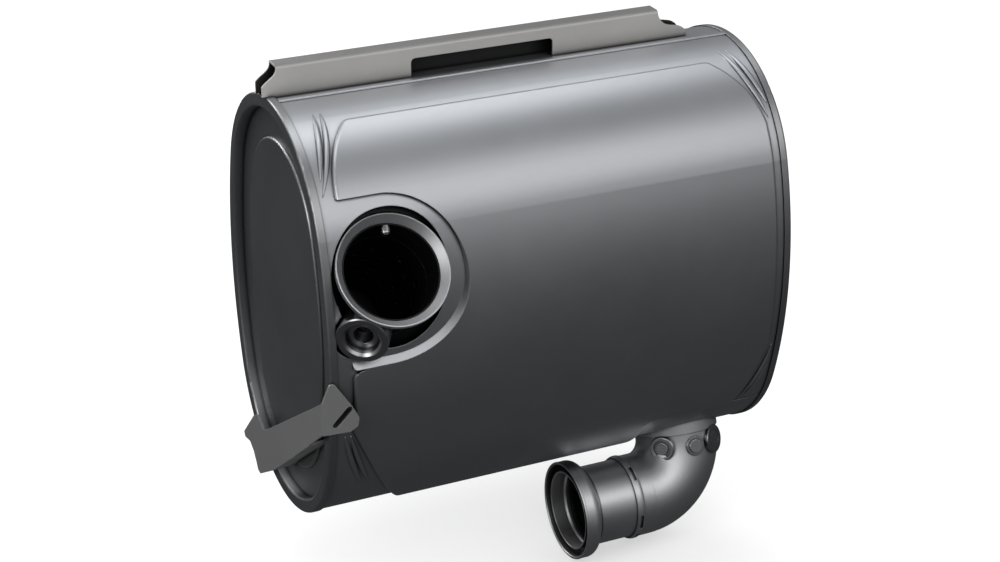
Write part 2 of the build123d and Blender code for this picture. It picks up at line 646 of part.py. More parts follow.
def make_mixer_tube():
    """Perforated tube that slides into the inner end of the inlet tube."""
    start = -INLET_TUBE_LENGTH + MIXER_OVERLAP
    end = start - MIXER_LENGTH
    tube = rod(INLET_FACE, INLET_OUT, INLET_RADIUS, end, start)
    tube = tube - rod(INLET_FACE, INLET_OUT, INLET_RADIUS - MIXER_WALL, end - 1, start + 1)
    side = Plane(origin=INLET_FACE, x_dir=(1, 0, 0), z_dir=INLET_OUT)
    for row in range(MIXER_ROWS):
        level = start - MIXER_OVERLAP - MIXER_ROW_PITCH * (row + 1)
        centre = INLET_FACE + INLET_OUT * level
        for column in range(MIXER_COLUMNS // 2):
            turn = radians(360.0 / MIXER_COLUMNS * (column + 0.5 * (row % 2)))
            out = side.x_dir * cos(turn) + side.y_dir * sin(turn)
            tube = tube - rod(centre, out, MIXER_HOLE / 2, -INLET_RADIUS - 5, INLET_RADIUS + 5)
    return tube - dosing_throat()


def make_mixer_end_plate():
    end = -INLET_TUBE_LENGTH + MIXER_OVERLAP - MIXER_LENGTH
    plate = rod(INLET_FACE, INLET_OUT, INLET_RADIUS + TUBE_WALL, end - TUBE_WALL, end)
    return plate


def make_injector_boss():
    """Turned boss on the can with a stepped, bevelled bore."""
    outline = Polyline(
        (BOSS_BORE / 2, -BOSS_BEVEL),
        (BOSS_BORE / 2 + BOSS_BEVEL, 0),
        (BOSS_DIAMETER / 2 - 1.5, 0),
        (BOSS_DIAMETER / 2, -1.5),
        (BOSS_DIAMETER / 2, -90),
        (BOSS_THROAT / 2, -90),
        (BOSS_THROAT / 2, -BOSS_STEP_DEPTH),
        (BOSS_BORE / 2, -BOSS_STEP_DEPTH),
        close=True,
    )
    boss = turned(BOSS_FACE, BOSS_OUT, make_face(outline))
    inlet = rod(INLET_FACE, INLET_OUT, INLET_RADIUS + TUBE_WALL, -INLET_TUBE_LENGTH, 0)
    boss = boss - oval_prism(CAN_OUTSIDE, -FAR, FAR) - inlet - collar_room()
    band = oval_prism(CAP_WALL + COLLAR_CLEARANCE, -FAR, RIM_BAND + COLLAR_CLEARANCE)
    return outer_piece(boss - band, BOSS_OUT)


def make_baffle(x):
    plate = oval_prism(CAN_INSIDE, x, x + BAFFLE_WALL)
    for z in (CATALYST_Z, -CATALYST_Z):
        plate = plate - rod((0, 0, z), (1, 0, 0), CATALYST_CAN_RADIUS, x - 1, x + BAFFLE_WALL + 1)
    return plate


def catalyst_tube(z, radius, wall, inset):
    """Tube on the axis of one catalyst, drawn in at both ends by inset; wall 0 makes it solid."""
    x0 = LEFT_BAFFLE_X - CATALYST_OVERHANG + inset
    x1 = RIGHT_BAFFLE_X + BAFFLE_WALL + CATALYST_OVERHANG - inset
    body = rod((0, 0, z), (1, 0, 0), radius, x0, x1)
    if wall:
        body = body - rod((0, 0, z), (1, 0, 0), radius - wall, x0 - 1, x1 + 1)
    return body


def rail_section():
    """Folded channel seen from the end: foot, web at the front, top, and rear leg."""
    y0 = RAIL_Y
    y1 = RAIL_Y + RAIL_DEPTH
    top = RAIL_TOP_Z
    foot_z = HALF_HEIGHT
    outer = Polyline((y0, foot_z - 12), (y0, top), (y1, top), (y1, foot_z - 12), close=True)
    block = make_face(outer)
    folds = [v for v in block.vertices() if v.Y > foot_z]
    block = fillet(folds, RAIL_FOLD)
    inner = Polyline(
        (y0 + RAIL_WALL, foot_z + RAIL_WALL),
        (y0 + RAIL_WALL, top - RAIL_WALL),
        (y1 - RAIL_WALL, top - RAIL_WALL),
        (y1 - RAIL_WALL, foot_z - 14),
        (y0 + RAIL_DEPTH * 0.6, foot_z - 14),
        (y0 + RAIL_DEPTH * 0.6, foot_z + RAIL_WALL - 1),
        close=True,
    )
    hollow = make_face(inner)
    tops = [v for v in hollow.vertices() if v.Y > top - RAIL_WALL - 1]
    hollow = fillet(tops, RAIL_FOLD - RAIL_WALL)
    return block - hollow


def rail_outline():
    """Front view of the rail: a long foot, concave shoulders and a shorter top."""
    base = HALF_HEIGHT - 20
    left_shoulder = HALF_HEIGHT + RAIL_SHOULDER_LEFT
    right_shoulder = HALF_HEIGHT + RAIL_SHOULDER_RIGHT
    mid_left = (RAIL_TOP_X0 - 1, left_shoulder + 12)
    mid_right = (RAIL_TOP_X1 + 5, right_shoulder + 7)
    lines = [
        Line((RAIL_BOTTOM_X0, base), (RAIL_BOTTOM_X0, left_shoulder - 4)),
        Spline((RAIL_BOTTOM_X0, left_shoulder - 4), (RAIL_BOTTOM_X0 + 5, left_shoulder + 1), mid_left,
               (RAIL_TOP_X0, RAIL_TOP_Z)),
        Line((RAIL_TOP_X0, RAIL_TOP_Z), (RAIL_TOP_X1, RAIL_TOP_Z)),
        Spline((RAIL_TOP_X1, RAIL_TOP_Z), mid_right, (RAIL_TOP_X1 + 12, right_shoulder + 1),
               (RAIL_BOTTOM_X1 - 8, right_shoulder - 6), (RAIL_BOTTOM_X1, right_shoulder - 14)),
        Line((RAIL_BOTTOM_X1, right_shoulder - 14), (RAIL_BOTTOM_X1, base)),
        Line((RAIL_BOTTOM_X1, base), (RAIL_BOTTOM_X0, base)),
    ]
    return make_face(lines)


def make_hanger_rail():
    channel = extrude(cross_plane(RAIL_BOTTOM_X0) * rail_section(), amount=RAIL_BOTTOM_X1 - RAIL_BOTTOM_X0)
    front = Plane(origin=(0, RAIL_Y - 5, 0), x_dir=(1, 0, 0), z_dir=(0, -1, 0))
    channel = channel & extrude(front * rail_outline(), amount=-RAIL_DEPTH - 20)
    slot_width = RAIL_SLOT_X1 - RAIL_SLOT_X0
    slot_height = RAIL_SLOT_TOP_Z - HALF_HEIGHT + 30
    slot = Pos((RAIL_SLOT_X0 + RAIL_SLOT_X1) / 2, RAIL_SLOT_TOP_Z - slot_height / 2)
    slot = slot * RectangleRounded(slot_width, slot_height, RAIL_SLOT_CORNER)
    channel = channel - extrude(front * slot, amount=-RAIL_DEPTH * 0.6 - 6)
    channel = channel - oval_prism(0, -FAR, FAR) - oval_prism(CAP_WALL, -FAR, RIM_BAND)
    for x1, level in ((FAR, HALF_HEIGHT), (RIM_BAND, HALF_HEIGHT + CAP_WALL)):
        below = Pos(x1 - FAR, RAIL_Y, level - RAIL_DEPTH) * Box(2 * FAR, 2 * RAIL_WALL, 2 * RAIL_DEPTH)
        channel = channel - below
    return channel


def make_lower_bracket():
    """One folded sheet: rear ear, bridge across the cap, front ear with a slanted slot, welded flange."""
    bottom = -HALF_HEIGHT
    ear_back = BRACKET_EAR_Y + BRACKET_WALL
    plate_outline = [
        (14, 104), (44, 86), (70, 97), (86, 88), (137, 37), (133, 30), (111, 34), (96, 26), (87, 15),
        (80, 4), (70, 2), (10, 39), (ear_back, BRACKET_EAR_FOOT), (ear_back, BRACKET_EAR_TOP),
    ]
    face = make_face(Polyline(*[(y, bottom + rise) for y, rise in plate_outline], close=True))
    soft = [v for v in face.vertices() if v.X > 60]
    face = fillet(soft, 3.0)
    plate = extrude(cross_plane(BRACKET_X) * face, amount=BRACKET_WALL)
    ear_outline = [
        (BRACKET_X, BRACKET_EAR_FOOT), (BRACKET_X, BRACKET_EAR_TOP), (-4, BRACKET_EAR_TIP),
        (3, BRACKET_EAR_TIP), (26, 238), (35, 220), (33, 208), (22, 202),
    ]
    ear_face = make_face(Polyline(*[(x, bottom + rise) for x, rise in ear_outline], close=True))
    ear_face = fillet([v for v in ear_face.vertices() if v.X > -10], 4.0)
    slot = Pos(BRACKET_SLOT_X, bottom + BRACKET_SLOT_LEVEL) * Rot(0, 0, 45) * SlotOverall(BRACKET_SLOT_LENGTH, BRACKET_SLOT_WIDTH)
    front = Plane(origin=(0, BRACKET_EAR_Y, 0), x_dir=(1, 0, 0), z_dir=(0, -1, 0))
    ear = extrude(front * (ear_face - slot), amount=-BRACKET_WALL)
    flange_outline = [(4, 48), (-148, 164), (-150, 161), (2, 45)]
    flange_line = Polyline(*[(y, bottom + rise) for y, rise in flange_outline], close=True)
    floor = CAP_DEPTH - CAP_WALL
    flange = extrude(cross_plane(BRACKET_X) * make_face(flange_line), amount=floor - BRACKET_X)
    return plate + ear + (flange - floor_pad(CAP_DEPTH, floor - FLOOR_PAD_RISE))


def make_outlet_neck():
    """Short neck welded into the can, standing out through the jacket."""
    radius = ELBOW_RADIUS + TUBE_WALL
    neck = rod(NECK_ROOT, NECK_DOWN, radius, -26, NECK_LENGTH)
    neck = neck - rod(NECK_ROOT, NECK_DOWN, ELBOW_RADIUS, -60, NECK_LENGTH + 1)
    return neck


def elbow_path(start):
    """Line down the neck and a quarter bend toward the left cap."""
    along = NECK_DOWN * BEND_RADIUS * sin(radians(45))
    aside = Vector(1, 0, 0) * BEND_RADIUS * (1 - cos(radians(45)))
    return Line(start, BEND_START) + ThreePointArc(BEND_START, BEND_START + along - aside, PIPE_START)


def make_outlet_elbow():
    """Tight quarter bend out of the neck, with the holes under the sensor bosses."""
    start = NECK_ROOT + NECK_DOWN * (NECK_LENGTH - NECK_OVERLAP)
    ring = Circle(ELBOW_RADIUS) - Circle(ELBOW_RADIUS - TUBE_WALL)
    elbow = sweep(Plane(origin=start, z_dir=NECK_DOWN) * ring, path=elbow_path(start))
    for port in SENSOR_PORTS.values():
        centre, out = port_place(port)
        elbow = elbow - rod(centre, out, PORT_HOLE / 2, -20, 30)
    return elbow


def make_outlet_socket():
    """Sleeve welded to the end of the bend; the pipe sits in it, beaded and crimped at its end."""
    fit = PIPE_RADIUS
    bead_start = SOCKET_LENGTH - SOCKET_BEAD_WIDTH
    bead_middle = SOCKET_LENGTH - SOCKET_BEAD_WIDTH / 2
    outline = [
        Line((ELBOW_RADIUS - TUBE_WALL, 0), (ELBOW_RADIUS, 0)),
        Line((ELBOW_RADIUS, 0), (ELBOW_RADIUS, bead_start)),
        ThreePointArc(
            (ELBOW_RADIUS, bead_start),
            (ELBOW_RADIUS + SOCKET_BEAD, bead_middle),
            (ELBOW_RADIUS, SOCKET_LENGTH),
        ),
        Line((ELBOW_RADIUS, SOCKET_LENGTH), (fit, SOCKET_LENGTH)),
        Line((fit, SOCKET_LENGTH), (fit, PIPE_START_GAP)),
        Line((fit, PIPE_START_GAP), (ELBOW_RADIUS - TUBE_WALL, PIPE_START_GAP)),
        Line((ELBOW_RADIUS - TUBE_WALL, PIPE_START_GAP), (ELBOW_RADIUS - TUBE_WALL, 0)),
    ]
    socket = turned(PIPE_START, PIPE_OUT, make_face(outline))
    for crimp in socket_crimps():
        socket = socket - crimp
    return socket


def socket_crimps():
    """Short grooves pressed into the socket's end, side by side round the pipe."""
    middle = SOCKET_LENGTH - CRIMP_FROM_END
    centre = PIPE_START + PIPE_OUT * (middle - CRIMP_WIDTH / 2)
    inner = ELBOW_RADIUS - CRIMP_DEPTH
    outer = ELBOW_RADIUS + 2 * SOCKET_BEAD
    crimps = []
    for count in range(int(360 / CRIMP_PITCH)):
        start = radians(CRIMP_START + CRIMP_PITCH * count)
        face = Plane(
            origin=centre,
            x_dir=(0, -cos(start), sin(start)),
            z_dir=Vector(0, -cos(start), sin(start)).cross(PIPE_OUT),
        )
        band = Pos((inner + outer) / 2, CRIMP_WIDTH / 2) * Rectangle(outer - inner, CRIMP_WIDTH)
        crimps.append(revolve(face * band, axis=Axis(centre, PIPE_OUT), revolution_arc=CRIMP_SWEEP))
    return crimps


def make_outlet_pipe():
    """Straight pipe in the socket; a bell stands round its end, joined to it behind the mouth."""
    total = PIPE_START.X - PIPE_END_X
    inner = PIPE_RADIUS - TUBE_WALL
    bell = FLARE_DIAMETER / 2
    back = total - FLARE_LENGTH
    groove = back - GROOVE_WIDTH
    straight = total - FLARE_STRAIGHT
    swell = (PIPE_RADIUS + 0.86 * (bell - PIPE_RADIUS), back + 0.4 * (straight - back))
    hollow = bell - FLARE_WALL
    inside = (PIPE_RADIUS + 0.8 * (hollow - PIPE_RADIUS), back + FLARE_WALL + 0.45 * (straight - back))
    end = total - LINER_BACK
    lip = total - FLARE_LIP
    join = back + FLARE_WALL
    outline = [
        Polyline((inner, PIPE_START_GAP), (PIPE_RADIUS, PIPE_START_GAP), (PIPE_RADIUS, groove),
                 (PIPE_RADIUS - GROOVE_DEPTH, groove + 1), (PIPE_RADIUS - GROOVE_DEPTH, back)),
        ThreePointArc((PIPE_RADIUS - GROOVE_DEPTH, back), swell, (bell, straight)),
        Line((bell, straight), (bell, lip)),
        ThreePointArc((bell, lip), (bell - FLARE_WALL / 2, total), (hollow, lip)),
        Line((hollow, lip), (hollow, straight)),
        ThreePointArc((hollow, straight), inside, (PIPE_RADIUS, join)),
        Polyline((PIPE_RADIUS, join), (PIPE_RADIUS, end), (inner, end), (inner, join),
                 (inner - PIPE_STEP, back), (inner - PIPE_STEP, groove), (inner, groove - PIPE_STEP),
                 (inner, PIPE_START_GAP)),
    ]
    return turned(PIPE_START, PIPE_OUT, make_face(outline))


def port_place(port):
    """Point on the elbow's skin at a sensor port, and the way out of it."""
    turn, drop = port[:2]
    out = NECK_FRONT * cos(radians(turn)) + Vector(1, 0, 0) * sin(radians(turn))
    return NECK_ROOT + NECK_DOWN * drop + out * ELBOW_RADIUS, out


def make_sensor_boss(port):
    """Low round boss with a well for its plug."""
    diameter, height, well, well_depth, plug, seat = port[2:8]
    centre, out = port_place(port)
    boss = rod(centre, out, diameter / 2, -30, height)
    top = [e for e in boss.edges() if on_circle(e, centre, out, diameter / 2, height)]
    boss = fillet(top, height / 3)
    boss = boss - rod(centre, out, well / 2, height - well_depth, height + 1)
    boss = boss - rod(centre, out, plug / 2, seat, height + 1)
    boss = boss - rod(centre, out, PORT_HOLE / 2, -40, height + 1)
    return outer_piece(boss - elbow_solid(), out)


def elbow_solid():
    """Outer skin of the neck and elbow, filled."""
    start = NECK_ROOT - NECK_DOWN * 40
    elbow = sweep(Plane(origin=start, z_dir=NECK_DOWN) * Circle(ELBOW_RADIUS), path=elbow_path(start))
    return elbow + rod(NECK_ROOT, NECK_DOWN, ELBOW_RADIUS + TUBE_WALL, -30, NECK_LENGTH)


def outer_piece(shape, out):
    """The solid that lies farthest along a direction."""
    return sorted(shape.solids(), key=lambda s: s.center().dot(out))[-1]


def make_sensor_plug(port):
    """Plain round plug seated in its boss."""
    plug, seat, height = port[6:9]
    centre, out = port_place(port)
    body = rod(centre, out, plug / 2, seat, height)
    rim = [e for e in body.edges() if on_circle(e, centre, out, plug / 2, height)]
    return fillet(rim, 0.6)


def build():
    """Every piece by name, in the can's own frame."""
    pieces = {
        "front_jacket": make_front_jacket(),
        "rear_jacket": make_rear_jacket(),
        "insulation_mat": make_insulation_mat(),
        "inner_can": make_inner_can(),
        "left_end_cap": make_end_cap(0.0, 1),
        "right_end_cap": make_end_cap(LENGTH, -1),
        "inlet_tube": make_inlet_tube(),
        "inlet_collar": make_inlet_collar(),
        "inlet_probe": make_inlet_probe(),
        "mixer_tube": make_mixer_tube(),
        "mixer_end_plate": make_mixer_end_plate(),
        "injector_boss": make_injector_boss(),
        "left_baffle": make_baffle(LEFT_BAFFLE_X),
        "right_baffle": make_baffle(RIGHT_BAFFLE_X),
        "hanger_rail": make_hanger_rail(),
        "lower_bracket": make_lower_bracket(),
        "outlet_neck": make_outlet_neck(),
        "outlet_elbow": make_outlet_elbow(),
        "outlet_socket": make_outlet_socket(),
        "outlet_pipe": make_outlet_pipe(),
    }
    for name, z in (("upper", CATALYST_Z), ("lower", -CATALYST_Z)):
        inner = CATALYST_CAN_RADIUS - CATALYST_CAN_WALL
        pieces[name + "_catalyst_can"] = catalyst_tube(z, CATALYST_CAN_RADIUS, CATALYST_CAN_WALL, 0)
        pieces[name + "_support_mat"] = catalyst_tube(z, inner, SUPPORT_MAT, BRICK_INSET)
        pieces[name + "_catalyst_brick"] = catalyst_tube(z, inner - SUPPORT_MAT, 0, BRICK_INSET)
    for name, port in SENSOR_PORTS.items():
        pieces[name + "_sensor_boss"] = make_sensor_boss(port)
        pieces[name + "_sensor_plug"] = make_sensor_plug(port)
    return pieces


PIECES = build()
for node, shape in PIECES.items():
    solid = Pos(-ORIGIN[0], -ORIGIN[1], -ORIGIN[2]) * shape.solid()
    export_step(solid, f"parts/{node}.step")
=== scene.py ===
import math

import bmesh
import bpy
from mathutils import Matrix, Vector


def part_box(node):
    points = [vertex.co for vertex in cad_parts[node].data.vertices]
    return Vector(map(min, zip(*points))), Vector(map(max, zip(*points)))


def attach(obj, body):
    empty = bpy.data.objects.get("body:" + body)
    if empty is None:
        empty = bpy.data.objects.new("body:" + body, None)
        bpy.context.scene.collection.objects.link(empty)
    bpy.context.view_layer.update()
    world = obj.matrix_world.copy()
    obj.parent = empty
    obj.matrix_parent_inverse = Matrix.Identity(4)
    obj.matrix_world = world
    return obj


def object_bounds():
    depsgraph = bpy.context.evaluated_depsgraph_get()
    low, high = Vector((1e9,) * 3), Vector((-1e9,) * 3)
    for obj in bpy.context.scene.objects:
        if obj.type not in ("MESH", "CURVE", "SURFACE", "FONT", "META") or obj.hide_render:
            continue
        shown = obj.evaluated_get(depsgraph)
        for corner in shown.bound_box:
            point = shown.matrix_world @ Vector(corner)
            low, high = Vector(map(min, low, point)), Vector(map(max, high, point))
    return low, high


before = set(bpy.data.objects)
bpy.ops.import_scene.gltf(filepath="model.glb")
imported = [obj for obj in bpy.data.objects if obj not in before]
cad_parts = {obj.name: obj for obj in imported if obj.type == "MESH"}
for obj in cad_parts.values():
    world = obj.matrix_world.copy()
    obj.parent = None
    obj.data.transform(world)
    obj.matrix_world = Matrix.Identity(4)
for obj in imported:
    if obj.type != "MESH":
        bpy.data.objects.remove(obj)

cad_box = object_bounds()

# Camera, matched to the view of the object
CAMERA_PLACE = (-1.0742, -2.3959, 0.8826)
CAMERA_TURN = (math.radians(64.863), 0.0, math.radians(-24.645))
CAMERA_REACH = 100.0
FOCAL_MM = 74.88
SENSOR_MM = 36.0

# Oval can, with the CAD's sizes; its place comes from the rims and the hanger rail
CAN_HALF_WIDTH = 0.196
CAN_HALF_HEIGHT = 0.292
SIDE_BULGE = 0.016             # the sides stand this far beyond the crown's arc
RAIL_ABOVE_CROWN = 0.042
RAIL_BEHIND_AXIS = 0.006
rail_low, rail_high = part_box("hanger_rail")
LEFT_RIM_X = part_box("left_end_cap")[0].x
RIGHT_RIM_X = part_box("right_end_cap")[1].x
CAN_AXIS_Y = rail_low.y - RAIL_BEHIND_AXIS
CAN_AXIS_Z = rail_high.z - RAIL_ABOVE_CROWN - CAN_HALF_HEIGHT
CROWN_RADIUS = CAN_HALF_WIDTH - SIDE_BULGE
CROWN_OFFSET = CAN_HALF_HEIGHT - CROWN_RADIUS     # the crown's centre above the can's axis
SIDE_OFFSET = (CROWN_OFFSET**2 - SIDE_BULGE**2) / (2 * SIDE_BULGE)    # the side's centre behind it
SIDE_RADIUS = SIDE_OFFSET + CAN_HALF_WIDTH
ARC_CHANGE = SIDE_RADIUS * CROWN_OFFSET / (SIDE_RADIUS - CROWN_RADIUS)    # height where they meet

# Parts of the surface that get painted highlight or painted shade
RIM_HIGHLIGHT_WIDTH = 0.006         # outermost part of each rim, which gets a stronger painted highlight
pipe_low, pipe_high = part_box("outlet_pipe")
PIPE_AXIS_Y = (pipe_low.y + pipe_high.y) / 2
PIPE_AXIS_Z = (pipe_low.z + pipe_high.z) / 2
PIPE_BORE_RADIUS = 0.0564      # between the two faces of the pipe's wall
BORE_SHADE_SPAN = (pipe_low.x + 0.022, pipe_low.x + 0.038)    # painted shade in the bore: from where it begins to where it is full
BORE_SHADE_SHARE = 0.94
CHANNEL_FRONT_Y = rail_low.y + 0.0035
CHANNEL_BACK_Y = rail_high.y - 0.0018
CHANNEL_TOP_Z = rail_high.z - 0.0035
CHANNEL_SHADE = 0.90

# How the steels answer to shape
NOISE_SPAN = (0.3, 0.7)        # where most of a noise's values lie
EDGE_HIGHLIGHT_SPAN = (0.995, 0.90)      # cosine between the true and the softened normal: no painted highlight, full painted highlight
EDGE_HIGHLIGHT_GAIN = 1.5
EDGE_HIGHLIGHT_LIFT = 0.05
NOOK_SHADE_SPAN = (0.25, 0.75)       # openness within a nook's reach: full painted shade, none
NOOK_SHADE_TONE = 0.12
CREASE_REACH = 0.006
CREASE_SPAN = (0.55, 0.92)     # openness within a crease's reach: full painted shade, none
CREASE_SHADE_TONE = 0.45
UPWARD_SPAN = (0.3, 0.9)       # how far a face looks up: no painted shade, full painted shade
OPENNESS_SAMPLES = 8
EDGE_SAMPLES = 4
ROUGH_CLOUD = 0.012            # the roughness varies this much with the clouds and with the grain
ROUGH_GRAIN = 0.02
GRAIN_HEIGHT = 0.0004

# Folded seam along the crown, in front of the hanger rail
SEAM_END = 0.0115              # its ends lie under the rims' folded bands
SEAM_SECTION = [               # (toward the inlet side from the crown's middle, above the jacket)
    (0.0030, 0.0000), (0.0034, 0.0013), (0.0044, 0.0020), (0.0060, 0.0023), (0.0110, 0.0023),
    (0.0126, 0.0020), (0.0136, 0.0012), (0.0140, 0.0000),
]

# Pressed beads in the margins beside the raised panel, laid over the jacket's shallow ones
BEAD_HALF_WIDTH = 0.0040
BEAD_HEIGHT = 0.0034
BEAD_SINK = 0.0004             # how far a bead's underside lies below the jacket
BEAD_TIP = 0.03                # what is left of the swell at the ends
BEAD_FULLNESS = 0.6            # lower keeps a bead wide for longer
BEAD_STEPS = 28
BEAD_ARC = 8
BEAD_LINES = {                 # (from the nearer rim, down from the crown or up from the bottom)
    "upper_left_outer_bead": [(0.042, 0.008), (0.0315, 0.032), (0.019, 0.064)],
    "upper_left_inner_bead": [(0.052, 0.008), (0.0415, 0.032), (0.017, 0.080)],
    "upper_right_inner_bead": [(0.045, 0.008), (0.032, 0.032), (0.018, 0.076)],
    "upper_right_outer_bead": [(0.034, 0.008), (0.023, 0.030), (0.014, 0.060)],
    "lower_left_outer_bead": [(0.022, 0.184), (0.034, 0.140), (0.053, 0.090)],
    "lower_left_inner_bead": [(0.030, 0.184), (0.043, 0.140), (0.063, 0.092)],
    "lower_right_outer_bead": [(0.016, 0.184), (0.026, 0.140), (0.050, 0.090)],
    "lower_right_inner_bead": [(0.015, 0.164), (0.024, 0.128), (0.042, 0.090)],
}

# Floor just under the bell of the outlet pipe, which is the lowest point of the object
FLOOR_Z = cad_box[0][2] - 0.0004
FLOOR_HALF_SIZE = 20.0
FLOOR_LIGHT = 0.98
FLOOR_LIGHT_SHARE = 0.5        # part of the floor's light to the camera that no shadow reaches

LAMP_AIM = (0.03, -0.05, -0.33)


# Node helpers

def node(tree, kind, sockets=None, **settings):
    """Shader node with its settings; each socket gets a value or another node's output."""
    made = tree.nodes.new("ShaderNode" + kind)
    for name, value in settings.items():
        setattr(made, name, value)
    for key, value in (sockets or {}).items():
        if isinstance(value, bpy.types.NodeSocket):
            tree.links.new(value, made.inputs[key])
        else:
            made.inputs[key].default_value = value
    return made


def new_material(name):
    mat = bpy.data.materials.new(name)
    mat.use_nodes = True
    return mat, mat.node_tree, mat.node_tree.nodes["Principled BSDF"]


def mathed(tree, operation, a, b=0.0):
    return node(tree, "Math", {0: a, 1: b}, operation=operation).outputs["Value"]


def remap(tree, value, span, low=0.0, high=1.0):
    """Value's place between the two ends of span, as a value from low to high."""
    sockets = {"Value": value, "From Min": span[0], "From Max": span[1], "To Min": low, "To Max": high}
    return node(tree, "MapRange", sockets).outputs["Result"]


def noise(tree, vector, scale, detail=4.0, rough=0.55, distortion=0.0):
    sockets = {"Vector": vector, "Scale": scale, "Detail": detail, "Roughness": rough,
               "Distortion": distortion}
    return node(tree, "TexNoise", sockets).outputs["Fac"]


def stretched(tree, scale=(1.0, 1.0, 1.0)):
    coords = node(tree, "TexCoord").outputs["Object"]
    return node(tree, "Mapping", {"Vector": coords, "Scale": scale}).outputs["Vector"]


def object_axes(tree):
    split = node(tree, "SeparateXYZ", {"Vector": node(tree, "TexCoord").outputs["Object"]})
    return split.outputs["X"], split.outputs["Y"], split.outputs["Z"]


def shaded(color, factor):
    return tuple(c * factor for c in color)


def mix_color(tree, factor, a, b):
    """Colour from a to b, each three numbers or a socket."""
    sockets = {"Factor": factor}
    for key, color in (("A", a), ("B", b)):
        sockets[key] = (*color, 1.0) if isinstance(color, tuple) else color
    return node(tree, "Mix", sockets, data_type="RGBA").outputs["Result"]


def openness(tree, reach):
    sockets = {"Distance": reach}
    return node(tree, "AmbientOcclusion", sockets, samples=OPENNESS_SAMPLES).outputs["AO"]


def add_relief(tree, shader, height, strength, distance, normal=None):
    sockets = {"Height": height, "Strength": strength, "Distance": distance}
    if normal:
        sockets["Normal"] = normal
    tree.links.new(node(tree, "Bump", sockets).outputs["Normal"], shader.inputs["Normal"])


# Masks

def near_rims(tree):
    """1 on the outermost part of the can's two rims, where the painted rim highlight goes, 0 between
    them.
    """
    x, _, _ = object_axes(tree)
    away = mathed(tree, "ABSOLUTE", mathed(tree, "SUBTRACT", x, (LEFT_RIM_X + RIGHT_RIM_X) / 2))
    return mathed(tree, "GREATER_THAN", away, (RIGHT_RIM_X - LEFT_RIM_X) / 2 - RIM_HIGHLIGHT_WIDTH)


def outside_bore(tree):
    """1 outside the outlet pipe, falling to a painted shade deep in its bore."""
    x, y, z = object_axes(tree)
    across = mathed(tree, "POWER", mathed(tree, "SUBTRACT", y, PIPE_AXIS_Y), 2.0)
    up = mathed(tree, "POWER", mathed(tree, "SUBTRACT", z, PIPE_AXIS_Z), 2.0)
    radius = mathed(tree, "SQRT", mathed(tree, "ADD", across, up))
    # Painted shade: within the bore, darker with depth behind the mouth
    inner = mathed(tree, "LESS_THAN", radius, PIPE_BORE_RADIUS)
    bore_shade = mathed(tree, "MULTIPLY", inner, remap(tree, x, BORE_SHADE_SPAN, 0.0, BORE_SHADE_SHARE))
    return mathed(tree, "SUBTRACT", 1.0, bore_shade)


def inside_channel(tree):
    """Painted shade within the hanger rail's channel, 1 elsewhere."""
    _, y, z = object_axes(tree)
    behind = mathed(tree, "GREATER_THAN", y, CHANNEL_FRONT_Y)
    before = mathed(tree, "LESS_THAN", y, CHANNEL_BACK_Y)
    below = mathed(tree, "LESS_THAN", z, CHANNEL_TOP_Z)
    within = mathed(tree, "MULTIPLY", mathed(tree, "MULTIPLY", behind, before), below)
    return mathed(tree, "SUBTRACT", 1.0, mathed(tree, "MULTIPLY", within, CHANNEL_SHADE))


# Finishes

